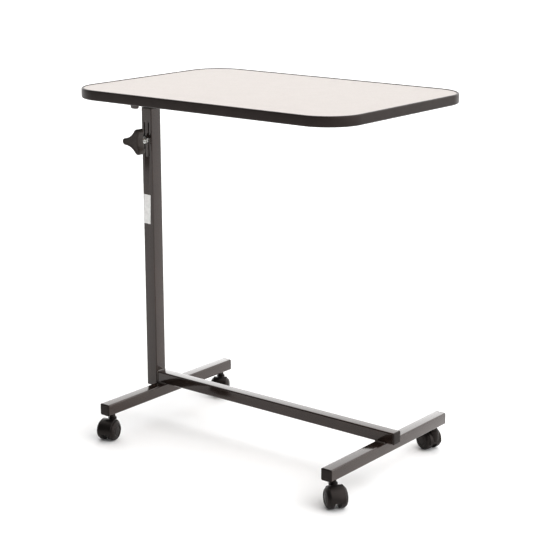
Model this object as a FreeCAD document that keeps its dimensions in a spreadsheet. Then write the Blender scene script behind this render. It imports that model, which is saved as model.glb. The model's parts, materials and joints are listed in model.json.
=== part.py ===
import FreeCAD, Part
import math
import os
import re

import Sketcher

# Overbed table: a laminated top carried by a square telescopic mast at one end,
# over a welded base of two foot tubes and one beam on four twin-wheel castors.
# Frame: X along the top's long side (mast at -X), Y away from the clamp knob,
# Z up from the floor; the origin is under the middle of the whole object's box.

SIZES = {
    # table top
    "table_height": 670,
    "top_length": 600,
    "top_width": 410,
    "top_corner": 68,
    "core_thickness": 15,
    "laminate_thickness": 1,
    "moulding_thickness": 4,
    "moulding_round": 3,
    "tongue_depth": 8,
    "tongue_thickness": 2,
    # mast, with its sliding inner tube
    "mast_width": 26,
    "mast_wall": 1.5,
    "mast_corner": 2,
    "mast_inset": 3,
    "mast_gap": 40.5,
    "mast_drop": 9,
    "guide_wall": 1.4,
    "inner_wall": 1.2,
    "inner_corner": 2,
    "slide_clearance": 0.1,
    "collar_depth": 22,
    "collar_lip": 2,
    "collar_round": 0.8,
    "shoe_height": 15,
    "shoe_room": 87.5,
    "plug_depth": 14,
    # base tubes
    "foot_width": 22,
    "foot_wall": 1.5,
    "foot_corner": 2.5,
    "foot_length": 362,
    "foot_offset": 9,
    "far_foot_inset": 39,
    "beam_overhang": 18,
    "cap_flange": 2.5,
    "cap_round": 1,
    "cap_gap": 1.5,
    "least_corner": 0.5,
    "weld_size": 2,
    # clamp knob, its stud and the nut welded to the mast
    "knob_drop": 59,
    "knob_radius": 27,
    "knob_tip_radius": 6.5,
    "knob_flank_radius": 34,
    "knob_thickness": 17,
    "knob_standoff": 23,
    "knob_angle": 63,
    "knob_round": 1.5,
    "knob_skin": 5,
    "insert_wall": 2.5,
    "stud_diameter": 8,
    "stud_clearance": 0.08,
    "nut_width": 13,
    "nut_thickness": 6.5,
    "pad_margin": 0.3,
    "pad_thickness": 1.2,
    "pad_pin_diameter": 3,
    "pad_pin_length": 3,
    "pin_clearance": 0.1,
    "pad_clearance": 0.05,
    "slit_spacing": 10,
    "slit_width": 2.5,
    "slit_length": 66,
    # label
    "label_width": 17,
    "label_length": 57,
    "label_thickness": 0.3,
    "label_corner": 1,
    "label_drop": 194.5,
    "label_shift": -2.5,
    "label_tilt": 2,
    # carriage under the top
    "saddle_margin": 1,
    "saddle_thickness": 4,
    "saddle_span": 92,
    "saddle_corner": 4,
    "saddle_drop": 33,
    "plate_thickness": 4,
    "plate_length": 110,
    "plate_width": 180,
    "plate_corner": 5,
    "plate_inset": 2,
    "arm_width": 30,
    "arm_height": 20,
    "arm_wall": 1.5,
    "arm_corner": 2,
    "arm_length": 414,
    "rail_width": 30,
    "rail_length": 300,
    "rail_inset": 5,
    "bolt_diameter": 8,
    "bolt_drop": 20,
    "bolt_head_width": 13,
    "bolt_head_height": 5.3,
    "bolt_nut_height": 6.5,
    "bolt_tail": 3,
    "spacer_diameter": 14,
    "hole_clearance": 0.3,
    "screw_diameter": 4,
    "screw_length": 16,
    "screw_head_diameter": 8,
    "screw_head_height": 2.5,
    "screw_margin": 15,
    # castors
    "castor_inset": 21,
    "castor_trail": 15,
    "wheel_radius": 19,
    "wheel_width": 15,
    "wheel_round": 6.5,
    "wheel_edge": 1,
    "web_thickness": 9.4,
    "wheel_gap": 0.3,
    "hood_width": 27,
    "hood_wall": 1.5,
    "hood_clearance": 0.5,
    "hood_span": 205,
    "hood_back_angle": -10,
    "hub_radius": 6,
    "boss_radius": 8,
    "axle_diameter": 4,
    "axle_clearance": 0.05,
    "pin_diameter": 6,
    "pin_length": 18,
    "neck_diameter": 11,
    "neck_height": 7.7,
    "neck_gap": 0.3,
    "stem_diameter": 8,
    "stem_length": 16,
    "wheel_skin": 1,
    "axle_end_gap": 0.3,
    # direction in which each castor trails, in degrees from +X
    "mast_front_angle": -74,
    "mast_rear_angle": -55,
    "far_front_angle": -37,
    "far_rear_angle": 164,
}

# Sizes and places that follow from the ones above.
PLACES = {
    "top_thickness": "core_thickness + 2 * laminate_thickness",
    "underside": "table_height - top_thickness",
    "core_bottom": "underside + laminate_thickness",
    "core_length": "top_length - 2 * moulding_thickness",
    "core_width": "top_width - 2 * moulding_thickness",
    "core_corner": "top_corner - moulding_thickness",
    "tongue_bottom": "(top_thickness - tongue_thickness) / 2",
    "knob_overhang": "knob_radius * abs(cos(knob_angle + 120)) - mast_inset - mast_width / 2",
    "table_x": "max(0; knob_overhang) / 2",
    "mast_x": "table_x - top_length / 2 + mast_inset + mast_width / 2",
    "mast_side": "mast_x + mast_width / 2",
    "mast_top": "underside - mast_gap",
    "mast_bore": "mast_width - 2 * mast_wall",
    "inner_width": "mast_bore - 2 * (guide_wall + slide_clearance)",
    "hood_radius": "wheel_radius + hood_clearance + hood_wall",
    "hood_top": "wheel_radius + hood_radius",
    "foot_bottom": "hood_top + neck_gap + neck_height",
    "foot_top": "foot_bottom + foot_width",
    "foot_bore": "foot_width - 2 * foot_wall",
    "mast_end": "foot_top - mast_drop",
    "mast_foot_x": "mast_side + foot_width / 2",
    "far_foot_x": "table_x + top_length / 2 - far_foot_inset",
    "beam_end": "far_foot_x + foot_width / 2 + beam_overhang",
    "beam_width": "mast_width - 2 * weld_size",
    "beam_z": "foot_top + beam_width / 2",
    "foot_start": "foot_offset - foot_length / 2",
    "foot_end": "foot_offset + foot_length / 2",
    "insert_width": "foot_bore - 2 * (foot_corner - foot_wall)",
    "cap_plug": "castor_inset - insert_width / 2 - cap_gap - cap_flange",
    "knob_z": "mast_top - knob_drop",
    "knob_back": "mast_width / 2 + knob_standoff",
    "insert_depth": "knob_thickness - knob_skin",
    "insert_diameter": "stud_diameter + 2 * insert_wall",
    "stud_bore": "stud_diameter + 2 * stud_clearance",
    "pad_diameter": "stud_diameter - 2 * pad_margin",
    "pad_front": "inner_width / 2 + pad_clearance",
    "stud_tip": "pad_front + pad_thickness",
    "stud_length": "knob_back + insert_depth - stud_tip",
    "plate_bottom": "underside - plate_thickness",
    "inner_top": "plate_bottom - saddle_thickness",
    "inner_bottom": "mast_end + cap_flange + plug_depth + shoe_room + shoe_height",
    "inner_length": "inner_top - inner_bottom",
    "inner_bore": "inner_width - 2 * inner_wall",
    "bolt_z": "underside - bolt_drop",
    "bolt_length": "saddle_span + bolt_nut_height + bolt_tail",
    "spacer_length": "(saddle_span - inner_width) / 2 - saddle_thickness",
    "saddle_width": "inner_width - 2 * saddle_margin",
    "plate_x": "mast_x - mast_width / 2 + plate_inset + plate_length / 2",
    "arm_start": "mast_x + inner_width / 2",
    "arm_end": "arm_start + arm_length",
    "rail_x": "arm_end - cap_flange - rail_inset - rail_width / 2",
    "bore_depth": "wheel_width - wheel_skin",
    "axle_length": "web_thickness + 2 * (wheel_gap + bore_depth - axle_end_gap)",
    "axle_bore": "axle_diameter + 2 * axle_clearance",
    "wheel_inner": "web_thickness / 2 + wheel_gap",
}

# The stem's place of each castor.
CASTORS = {
    "mast_front": ("mast_foot_x", "foot_start + castor_inset"),
    "mast_rear": ("mast_foot_x", "foot_end - castor_inset"),
    "far_front": ("far_foot_x", "foot_start + castor_inset"),
    "far_rear": ("far_foot_x", "foot_end - castor_inset"),
}

UPRIGHT = FreeCAD.Rotation()
ALONG_X = FreeCAD.Rotation(FreeCAD.Vector(0, 1, 0), 90)
ALONG_Y = FreeCAD.Rotation(FreeCAD.Vector(1, 0, 0), -90)
TOWARDS_USER = FreeCAD.Rotation(FreeCAD.Vector(1, 0, 0), 90)
BACK_ALONG_X = FreeCAD.Rotation(FreeCAD.Vector(0, 1, 0), -90)

doc = FreeCAD.newDocument("overbed_table")
sub_parts = []


# ---- sheet, places and bindings

def make_sheet():
    sheet = doc.addObject("Spreadsheet::Sheet", "sizes")
    for row, (name, value) in enumerate(SIZES.items(), 1):
        sheet.set(f"A{row}", name.replace("_", " "))
        sheet.set(f"B{row}", str(value))
        sheet.setAlias(f"B{row}", name)
    doc.recompute()
    return sheet


def make_places():
    places = doc.addObject("App::VarSet", "places")
    for name, expression in PLACES.items():
        places.addProperty("App::PropertyFloat", name)
        places.setExpression(name, linked(expression))
    places.addProperty("App::PropertyFloat", "reading")
    doc.recompute()
    return places


def linked(expression):
    """The expression with each named size or place written as a document reference."""
    def owner(match):
        word = match.group(0)
        if word in SIZES:
            return "sizes." + word
        return "places." + word if word in PLACES else word
    return re.sub(r"[a-z][a-z_0-9]*", owner, str(expression))


def number(expression):
    """The present value of an expression, for a sketch's first drawing."""
    places.setExpression("reading", linked(expression))
    places.recompute()
    return places.reading


def bind(thing, **properties):
    for name, expression in properties.items():
        thing.setExpression(name, linked(expression))


def put(thing, x="0", y="0", z="0", turn=UPRIGHT):
    thing.Placement = FreeCAD.Placement(FreeCAD.Vector(), turn)
    for axis, expression in (("x", x), ("y", y), ("z", z)):
        thing.setExpression("Placement.Base." + axis, linked(expression))
    return thing


def finished(thing, name):
    """Take an object as the sub-part of that name."""
    thing.Label = name
    sub_parts.append(thing)
    return thing


# ---- sketches

def sketch_on(body, plane, lift="0"):
    sketch = body.newObject("Sketcher::SketchObject", "sketch")
    origin = next(item for item in body.Origin.OriginFeatures if item.Role == plane)
    sketch.AttachmentSupport = [(origin, "")]
    sketch.MapMode = "FlatFace"
    sketch.setExpression("AttachmentOffset.Base.z", linked(lift))
    return sketch


def dimension(sketch, kind, expression, *elements):
    value = number(expression)
    index = sketch.addConstraint(Sketcher.Constraint(kind, *elements, value))
    sketch.setExpression(f"Constraints[{index}]", linked(expression))


def fix_point(sketch, element, corner, x, y):
    dimension(sketch, "DistanceX", x, -1, 1, element, corner)
    dimension(sketch, "DistanceY", y, -1, 1, element, corner)


def arc(x, y, radius, start, end):
    circle = Part.Circle(FreeCAD.Vector(x, y, 0), FreeCAD.Vector(0, 0, 1), radius)
    return Part.ArcOfCircle(circle, math.radians(start), math.radians(end))


def add_circle(sketch, diameter, x="0", y="0"):
    centre = FreeCAD.Vector(number(x), number(y), 0)
    circle = Part.Circle(centre, FreeCAD.Vector(0, 0, 1), number(diameter) / 2)
    index = sketch.addGeometry(circle)
    dimension(sketch, "Diameter", diameter, index)
    fix_point(sketch, index, 3, x, y)


def add_polygon(sketch, points):
    """A closed outline of straight edges through points given as expressions."""
    corners = [FreeCAD.Vector(number(x), number(y), 0) for x, y in points]
    first = sketch.GeometryCount
    count = len(points)
    for start, end in zip(corners, corners[1:] + corners[:1]):
        sketch.addGeometry(Part.LineSegment(start, end))
    for index, (x, y) in enumerate(points):
        following = first + (index + 1) % count
        sketch.addConstraint(Sketcher.Constraint("Coincident", first + index, 2, following, 1))
        fix_point(sketch, first + index, 1, x, y)


def add_rectangle(sketch, length, width, x="0", y="0"):
    left, right = f"{x} - ({length}) / 2", f"{x} + ({length}) / 2"
    low, high = f"{y} - ({width}) / 2", f"{y} + ({width}) / 2"
    add_polygon(sketch, [(left, low), (right, low), (right, high), (left, high)])


def add_rounded(sketch, length, width, corner):
    """A rectangle about the sketch's origin with four tangent corner arcs."""
    reach_x = f"({length}) / 2 - ({corner})"
    reach_y = f"({width}) / 2 - ({corner})"
    x, y, radius = number(reach_x), number(reach_y), number(corner)
    first = sketch.GeometryCount
    turns = ((x, -y, 270), (x, y, 0), (-x, y, 90), (-x, -y, 180))
    arcs = [arc(u, v, radius, start, start + 90) for u, v, start in turns]
    for previous, following in zip(arcs[-1:] + arcs[:-1], arcs):
        sketch.addGeometry(Part.LineSegment(previous.EndPoint, following.StartPoint))
        sketch.addGeometry(following)
    for index in range(8):
        following = first + (index + 1) % 8
        sketch.addConstraint(Sketcher.Constraint("Tangent", first + index, 2, following, 1))
    for index, kind in ((0, "Horizontal"), (2, "Vertical"), (4, "Horizontal"), (6, "Vertical")):
        sketch.addConstraint(Sketcher.Constraint(kind, first + index))
    for index in (3, 5, 7):
        sketch.addConstraint(Sketcher.Constraint("Equal", first + 1, first + index))
    dimension(sketch, "Radius", corner, first + 1)
    fix_point(sketch, first + 1, 3, reach_x, f"-({reach_y})")
    fix_point(sketch, first + 5, 3, f"-({reach_x})", reach_y)


# ---- features of a body

def new_body(name):
    return finished(doc.addObject("PartDesign::Body", name), name)


def pad(body, sketch, length, both_ways=False):
    feature = body.newObject("PartDesign::Pad", "pad")
    feature.Profile = sketch
    feature.SideType = "Symmetric" if both_ways else "One side"
    bind(feature, Length=length)
    doc.recompute()
    return feature


def pocket(body, sketch, length=None, away=False):
    """Cut a sketch against its normal, or along it when away; without a length, through all."""
    before = body.Shape.Volume
    feature = body.newObject("PartDesign::Pocket", "pocket")
    feature.Profile = sketch
    feature.Reversed = away
    if length is None:
        feature.Type = "ThroughAll"
    else:
        bind(feature, Length=length)
    doc.recompute()
    if body.Shape.Volume >= before:
        raise RuntimeError(f"{body.Label}: a pocket cuts nothing")
    return feature


def round_edges(body, radius, chosen):
    """Fillet the edges of the body's last feature that a test picks out."""
    last = body.Tip
    names = [f"Edge{i}" for i, edge in enumerate(last.Shape.Edges, 1) if chosen(edge)]
    feature = body.newObject("PartDesign::Fillet", "fillet")
    feature.Base = (last, names)
    bind(feature, Radius=radius)
    doc.recompute()
    return feature


def at_height(height):
    """A test for edges that lie in one plane across the body's own Z."""
    def chosen(edge):
        box = edge.BoundBox
        return abs(box.ZMin - height) < 1e-4 and abs(box.ZMax - height) < 1e-4
    return chosen


def tube(name, width, wall, corner, length, depth=None):
    """A tube along its own Z, hollow, with rounded corners inside and out."""
    depth = depth or width
    body = new_body(name)
    sketch = sketch_on(body, "XY_Plane")
    add_rounded(sketch, width, depth, corner)
    add_rounded(sketch, f"{width} - 2 * {wall}", f"{depth} - 2 * {wall}", inner_corner(corner, wall))
    pad(body, sketch, length)
    return body


def inner_corner(corner, wall):
    """The bore's corner radius, kept above nothing where the wall is as thick as the corner."""
    return f"max({corner} - {wall}; least_corner)"


def drill(body, diameter, places_along, through_both=False):
    """Round holes in a tube's +Y wall, or in both Y walls, centred across it."""
    sketch = sketch_on(body, "XZ_Plane")
    for x, z in places_along:
        add_circle(sketch, diameter, x, z)
    pocket(body, sketch)
    if through_both:
        opposite = sketch_on(body, "XZ_Plane")
        for x, z in places_along:
            add_circle(opposite, diameter, x, z)
        pocket(body, opposite, away=True)


def plug(width, wall, corner, depth, across=None):
    """A plastic tube end: its flange from z = 0 up, then the plug inside the tube."""
    across = across or width
    body = doc.addObject("PartDesign::Body", "plug")
    flange = sketch_on(body, "XY_Plane")
    add_rounded(flange, width, across, corner)
    pad(body, flange, "cap_flange")
    round_edges(body, "min(cap_round; cap_flange / 2)", at_height(0))
    inside = sketch_on(body, "XY_Plane", "cap_flange")
    add_rounded(inside, f"{width} - 2 * {wall}", f"{across} - 2 * {wall}", inner_corner(corner, wall))
    pad(body, inside, depth)
    return body


# ---- simple solids

def cylinder(diameter, length, **where):
    solid = doc.addObject("Part::Cylinder", "cylinder")
    bind(solid, Radius=f"({diameter}) / 2", Height=length)
    return put(solid, **where)


def hexagon(width, height, **where):
    solid = doc.addObject("Part::Prism", "hexagon")
    solid.Polygon = 6
    bind(solid, Circumradius=f"{width} / 2 / cos(30)", Height=height)
    return put(solid, **where)


def joined(*solids):
    fusion = doc.addObject("Part::MultiFuse", "fusion")
    fusion.Shapes = solids
    return fusion


def cut(base, *tools):
    result = doc.addObject("Part::Cut", "cut")
    result.Base = base
    result.Tool = tools[0] if len(tools) == 1 else joined(*tools)
    return result


def group(name, solids):
    """Several separate solids of one kind, kept as one sub-part."""
    compound = doc.addObject("Part::Compound", name)
    compound.Links = solids
    return finished(compound, name)


# ---- base

def make_mast():
    tube_z = "mast_end + cap_flange"
    mast = tube("outer_mast_tube", "mast_width", "mast_wall", "mast_corner", f"mast_top - ({tube_z})")
    window = sketch_on(mast, "XZ_Plane")
    middle = f"knob_z - ({tube_z})"
    for side in ("-", ""):
        add_rectangle(window, "slit_width", "slit_length", f"{side}slit_spacing / 2", middle)
    pocket(mast, window, away=True)
    stud_hole = sketch_on(mast, "XZ_Plane")
    add_circle(stud_hole, "stud_diameter + 2 * hole_clearance", "0", middle)
    pocket(mast, stud_hole, away=True)
    put(mast, "mast_x", z=tube_z)
    foot_plug = plug("mast_width", "mast_wall", "mast_corner", "plug_depth")
    put(finished(foot_plug, "mast_foot_plug"), "mast_x", z="mast_end")


def make_guide_collar():
    collar = new_body("mast_guide_collar")
    passage = "inner_width + 2 * slide_clearance"
    lip = sketch_on(collar, "XY_Plane")
    add_rounded(lip, "mast_width", "mast_width", "mast_corner")
    pad(collar, lip, "collar_lip")
    round_edges(collar, "min(collar_round; collar_lip / 2)", at_height(sizes.collar_lip))
    sleeve = sketch_on(collar, "XY_Plane", "-collar_depth")
    add_rounded(sleeve, "mast_bore", "mast_bore", inner_corner("mast_corner", "mast_wall"))
    pad(collar, sleeve, "collar_depth")
    bore = sketch_on(collar, "XY_Plane", "-collar_depth")
    add_rounded(bore, passage, passage, "inner_corner")
    pocket(collar, bore, away=True)
    put(collar, "mast_x", z="mast_top")


def make_foot(name, x):
    length = "foot_length - 2 * cap_flange"
    foot = tube(name, "foot_width", "foot_wall", "foot_corner", length)
    first = "castor_inset - cap_flange"
    last = "foot_length - cap_flange - castor_inset"
    drill(foot, "stem_diameter + 2 * hole_clearance", [("0", first), ("0", last)])
    put(foot, x, "foot_start + cap_flange", "foot_bottom + foot_width / 2", ALONG_Y)


def make_base_tubes():
    make_foot("mast_side_foot_tube", "mast_foot_x")
    make_foot("far_foot_tube", "far_foot_x")
    length = "beam_end - cap_flange - mast_side"
    beam = tube("base_beam_tube", "beam_width", "foot_wall", "foot_corner", length)
    put(beam, "mast_side", z="beam_z", turn=ALONG_X)


def make_end_caps():
    caps = []
    middle = "foot_bottom + foot_width / 2"
    for x in ("mast_foot_x", "far_foot_x"):
        for y, turn in (("foot_start", ALONG_Y), ("foot_end", TOWARDS_USER)):
            cap = plug("foot_width", "foot_wall", "foot_corner", "cap_plug")
            caps.append(put(cap, x, y, middle, turn))
    group("foot_end_caps", caps)
    beam_cap = plug("beam_width", "foot_wall", "foot_corner", "cap_plug")
    put(finished(beam_cap, "beam_end_cap"), "beam_end", z="beam_z", turn=BACK_ALONG_X)


def weld_bead(length, x, y, z, first, second):
    """A quarter-round bead along the line where two faces meet, one leg each way from it."""
    bead = doc.addObject("Part::Cylinder", "bead")
    bead.Angle = 90
    bind(bead, Radius="weld_size", Height=length)
    along = first.cross(second)
    return put(bead, x, y, z, FreeCAD.Rotation(first, second, along, "ZXY"))


def make_weld_beads():
    out, back = FreeCAD.Vector(1, 0, 0), FreeCAD.Vector(-1, 0, 0)
    away, near = FreeCAD.Vector(0, 1, 0), FreeCAD.Vector(0, -1, 0)
    up = FreeCAD.Vector(0, 0, 1)
    beam_side, mast_face = "beam_width / 2", "mast_width / 2"
    drop = "mast_drop - cap_flange"
    beads = [
        weld_bead("beam_width", "mast_side", f"-{beam_side}", "foot_top", near, out),
        weld_bead("beam_width", "mast_side", beam_side, "foot_top", out, away),
        weld_bead("beam_width", "mast_side", beam_side, "foot_top + beam_width", out, up),
        weld_bead(drop, "mast_side", f"-{mast_face}", f"foot_top - ({drop})", back, near),
        weld_bead(drop, "mast_side", mast_face, f"foot_top - ({drop})", away, back),
    ]
    spans = (("mast_foot_x", "foot_width - weld_size"), ("far_foot_x", "foot_width"))
    for foot_x, length in spans:
        end = f"{foot_x} + foot_width / 2"
        beads.append(weld_bead(length, end, f"-{beam_side}", "foot_top", near, up))
        beads.append(weld_bead(length, end, beam_side, "foot_top", up, away))
    group("weld_beads", beads)


def make_clamp_nut():
    nut = hexagon("nut_width", "nut_thickness")
    bore = cylinder("stud_bore", "nut_thickness")
    clamp_nut = finished(cut(nut, bore), "clamp_weld_nut")
    put(clamp_nut, "mast_x", "-mast_width / 2", "knob_z", TOWARDS_USER)


def make_label():
    label = new_body("blank_label")
    outline = sketch_on(label, "XY_Plane")
    add_rounded(outline, "label_width", "label_length", "label_corner")
    pad(label, outline, "label_thickness")
    tilt = FreeCAD.Rotation(FreeCAD.Vector(0, 1, 0), sizes.label_tilt)
    put(label, "mast_x + label_shift", "-mast_width / 2", "mast_top - label_drop", tilt * TOWARDS_USER)


# ---- knob, stud and pressure pad

def add_lobes(sketch):
    """Three convex tips joined by three concave flanks, all tangent arcs."""
    tip, flank = sizes.knob_tip_radius, sizes.knob_flank_radius
    reach = sizes.knob_radius - tip
    span = reach / 2 + math.sqrt((flank + tip) ** 2 - 0.75 * reach ** 2)
    swing = math.degrees(math.asin(reach * math.sin(math.radians(60)) / (flank + tip)))
    first = sketch.GeometryCount
    for turn in range(3):
        middle = sizes.knob_angle + 120 * turn
        x, y = on_circle(reach, middle)
        sketch.addGeometry(arc(x, y, tip, middle - 60 - swing, middle + 60 + swing))
        x, y = on_circle(span, middle + 60)
        sketch.addGeometry(arc(x, y, flank, middle + 240 - swing, middle + 240 + swing))
    for turn in range(3):
        lobe, side, following = first + 2 * turn, first + 2 * turn + 1, first + (2 * turn + 2) % 6
        sketch.addConstraint(Sketcher.Constraint("Tangent", lobe, 2, side, 2))
        sketch.addConstraint(Sketcher.Constraint("Tangent", side, 1, following, 1))
        dimension(sketch, "Radius", "knob_tip_radius", lobe)
        dimension(sketch, "Radius", "knob_flank_radius", side)
        angle = f"knob_angle + {120 * turn}"
        distance = "(knob_radius - knob_tip_radius)"
        fix_point(sketch, lobe, 3, f"{distance} * cos({angle})", f"{distance} * sin({angle})")


def on_circle(radius, degrees):
    angle = math.radians(degrees)
    return radius * math.cos(angle), radius * math.sin(angle)


def make_knob():
    knob = new_body("clamp_knob")
    outline = sketch_on(knob, "XY_Plane")
    add_lobes(outline)
    pad(knob, outline, "knob_thickness")
    front = at_height(sizes.knob_thickness)
    back = at_height(0)
    round_edges(knob, "knob_round", lambda edge: front(edge) or back(edge))
    seat = sketch_on(knob, "XY_Plane")
    add_circle(seat, "insert_diameter")
    pocket(knob, seat, "insert_depth", away=True)
    put(knob, "mast_x", "-knob_back", "knob_z", TOWARDS_USER)


def make_stud():
    insert = cut(cylinder("insert_diameter", "insert_depth"), cylinder("stud_diameter", "insert_depth"))
    put(finished(insert, "knob_insert"), "mast_x", "-knob_back", "knob_z", TOWARDS_USER)
    socket = cylinder("pad_pin_diameter + 2 * pin_clearance", "pad_pin_length + pin_clearance")
    stud = cut(cylinder("stud_diameter", "stud_length"), socket)
    put(finished(stud, "clamp_stud"), "mast_x", "-stud_tip", "knob_z", TOWARDS_USER)
    pin = cylinder("pad_pin_diameter", "pad_thickness + pad_pin_length")
    pressure_pad = joined(cylinder("pad_diameter", "pad_thickness"), pin)
    put(finished(pressure_pad, "pressure_pad"), "mast_x", "-pad_front", "knob_z", TOWARDS_USER)


# ---- carriage: inner tube and the steelwork under the top

def make_inner_tube():
    bolt_hole = "bolt_diameter + 2 * hole_clearance"
    inner = tube("inner_mast_tube", "inner_width", "inner_wall", "inner_corner", "inner_length")
    drill(inner, bolt_hole, [("0", "bolt_z - inner_bottom")], through_both=True)
    put(inner, "mast_x", z="inner_bottom")
    shoe = new_body("inner_tube_slide_shoe")
    skirt = sketch_on(shoe, "XY_Plane", "-shoe_height")
    skirt_width = "mast_bore - 2 * slide_clearance"
    add_rounded(skirt, skirt_width, skirt_width, inner_corner("mast_corner", "mast_wall"))
    pad(shoe, skirt, "shoe_height")
    inside = sketch_on(shoe, "XY_Plane")
    add_rounded(inside, "inner_bore", "inner_bore", inner_corner("inner_corner", "inner_wall"))
    pad(shoe, inside, "plug_depth")
    put(shoe, "mast_x", z="inner_bottom")


def make_saddle():
    saddle = new_body("saddle_bracket")
    side, wall, drop = "saddle_span / 2", "saddle_thickness", "saddle_drop"
    section = sketch_on(saddle, "YZ_Plane")
    inside = f"{side} - {wall}"
    half = [(side, "0"), (side, f"-{drop}"), (inside, f"-{drop}"), (inside, f"-{wall}")]
    other = [(f"-({x})", z) for x, z in reversed(half)]
    add_polygon(section, half[::-1] + other[::-1])
    pad(saddle, section, "saddle_width", both_ways=True)
    low, edge_x = -sizes.saddle_drop, number("saddle_width") / 2
    round_edges(saddle, "saddle_corner", lambda edge: is_cross_edge(edge, edge_x, low))
    for away in (False, True):
        hole = sketch_on(saddle, "XZ_Plane")
        add_circle(hole, "bolt_diameter + 2 * hole_clearance", "0", "bolt_z - plate_bottom")
        pocket(saddle, hole, away=away)
    put(saddle, "mast_x", z="plate_bottom")


def is_cross_edge(edge, x, z):
    """Whether an edge runs along Y at that height, at plus or minus that X."""
    box = edge.BoundBox
    flat = box.XLength < 1e-4 and box.ZLength < 1e-4
    return flat and abs(abs(box.XMin) - x) < 1e-4 and abs(box.ZMin - z) < 1e-4


def make_bolt():
    start = "saddle_span / 2"
    head = hexagon("bolt_head_width", "bolt_head_height")
    shank = cylinder("bolt_diameter", "bolt_head_height + bolt_length")
    bolt = finished(joined(head, shank), "saddle_bolt")
    put(bolt, "mast_x", f"-{start} - bolt_head_height", "bolt_z", ALONG_Y)
    nut = cut(hexagon("bolt_head_width", "bolt_nut_height"), cylinder("bolt_diameter", "bolt_nut_height"))
    put(finished(nut, "saddle_nut"), "mast_x", start, "bolt_z", ALONG_Y)
    spacers = []
    for turn, y in ((ALONG_Y, "inner_width / 2"), (TOWARDS_USER, "-inner_width / 2")):
        sleeve = cylinder("spacer_diameter", "spacer_length")
        hole = cylinder("bolt_diameter + 2 * hole_clearance", "spacer_length")
        spacers.append(put(cut(sleeve, hole), "mast_x", y, "bolt_z", turn))
    group("bolt_spacers", spacers)


def flat_plate(name, length, width, x, screws):
    """A flat bar under the top, drilled for its screws."""
    plate = new_body(name)
    outline = sketch_on(plate, "XY_Plane")
    add_rounded(outline, length, width, "plate_corner")
    pad(plate, outline, "plate_thickness")
    holes = sketch_on(plate, "XY_Plane")
    for screw_x, screw_y in screws:
        add_circle(holes, "screw_diameter + 2 * hole_clearance", f"{screw_x} - {x}", screw_y)
    pocket(plate, holes, away=True)
    put(plate, x, z="plate_bottom")


def make_arm():
    arm = tube("carrier_arm", "arm_height", "arm_wall", "arm_corner", "arm_length - cap_flange", "arm_width")
    put(arm, "arm_start", z="plate_bottom - arm_height / 2", turn=ALONG_X)
    cap = plug("arm_height", "arm_wall", "arm_corner", "cap_plug", "arm_width")
    put(finished(cap, "carrier_arm_cap"), "arm_end", z="plate_bottom - arm_height / 2", turn=BACK_ALONG_X)


def screw_places():
    """The screws' places: four in the head plate, two in the cross rail."""
    reach_x = "(plate_length / 2 - screw_margin)"
    reach_y = "(plate_width / 2 - screw_margin)"
    corners = [(f"plate_x {a} {reach_x}", f"{b}{reach_y}") for a in "-+" for b in ("-", "")]
    ends = [("rail_x", f"{sign}(rail_length / 2 - screw_margin)") for sign in ("-", "")]
    return corners, ends


def make_screws(places_of_screws):
    screws = []
    for x, y in places_of_screws:
        head = cylinder("screw_head_diameter", "screw_head_height")
        shank = cylinder("screw_diameter", "screw_head_height + screw_length")
        screws.append(put(joined(head, shank), x, y, "plate_bottom - screw_head_height"))
    group("wood_screws", screws)


# ---- top

def make_core(screws):
    core = new_body("table_core")
    tongue_top = "tongue_bottom + tongue_thickness - laminate_thickness"
    layers = (
        ("0", "tongue_bottom - laminate_thickness", "0"),
        ("tongue_bottom - laminate_thickness", "tongue_thickness", "tongue_depth"),
        (tongue_top, f"core_thickness - ({tongue_top})", "0"),
    )
    for lift, thickness, inset in layers:
        outline = sketch_on(core, "XY_Plane", lift)
        length, width = f"core_length - 2 * {inset}", f"core_width - 2 * {inset}"
        add_rounded(outline, length, width, f"core_corner - {inset}")
        pad(core, outline, thickness)
    pilots = sketch_on(core, "XY_Plane")
    for x, y in screws:
        add_circle(pilots, "screw_diameter", f"{x} - table_x", y)
    pocket(core, pilots, "screw_length - plate_thickness - laminate_thickness", away=True)
    put(core, "table_x", z="core_bottom")


def laminate(name, z, screws=()):
    sheet = new_body(name)
    outline = sketch_on(sheet, "XY_Plane")
    add_rounded(outline, "core_length", "core_width", "core_corner")
    pad(sheet, outline, "laminate_thickness")
    if screws:
        holes = sketch_on(sheet, "XY_Plane")
        for x, y in screws:
            add_circle(holes, "screw_diameter", f"{x} - table_x", y)
        pocket(sheet, holes, away=True)
    put(sheet, "table_x", z=z)


def make_moulding():
    moulding = new_body("edge_moulding")
    outline = sketch_on(moulding, "XY_Plane")
    add_rounded(outline, "top_length", "top_width", "top_corner")
    pad(moulding, outline, "top_thickness")
    low, high = at_height(0), at_height(number("top_thickness"))
    rounding = "min(moulding_round; moulding_thickness)"
    round_edges(moulding, rounding, lambda edge: low(edge) or high(edge))
    opening = sketch_on(moulding, "XY_Plane")
    add_rounded(opening, "core_length", "core_width", "core_corner")
    pocket(moulding, opening, away=True)
    tongue = sketch_on(moulding, "XY_Plane", "tongue_bottom")
    add_rounded(tongue, "core_length", "core_width", "core_corner")
    inner = ("core_length", "core_width", "core_corner")
    length, width, corner = (f"{name} - {share} * tongue_depth" for name, share in zip(inner, (2, 2, 1)))
    add_rounded(tongue, length, width, corner)
    pad(moulding, tongue, "tongue_thickness")
    put(moulding, "table_x", z="underside")


# ---- castors

def castor_rotation(name, turn=UPRIGHT):
    angle = getattr(sizes, name + "_angle")
    return FreeCAD.Rotation(FreeCAD.Vector(0, 0, 1), angle) * turn


def castor_point(name, x, y, along, across="0"):
    """A point given along the trail and across it, to its left, as table coordinates."""
    angle = name + "_angle"
    point_x = f"{x} + ({along}) * cos({angle}) - ({across}) * sin({angle})"
    point_y = f"{y} + ({along}) * sin({angle}) + ({across}) * cos({angle})"
    return point_x, point_y


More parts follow.
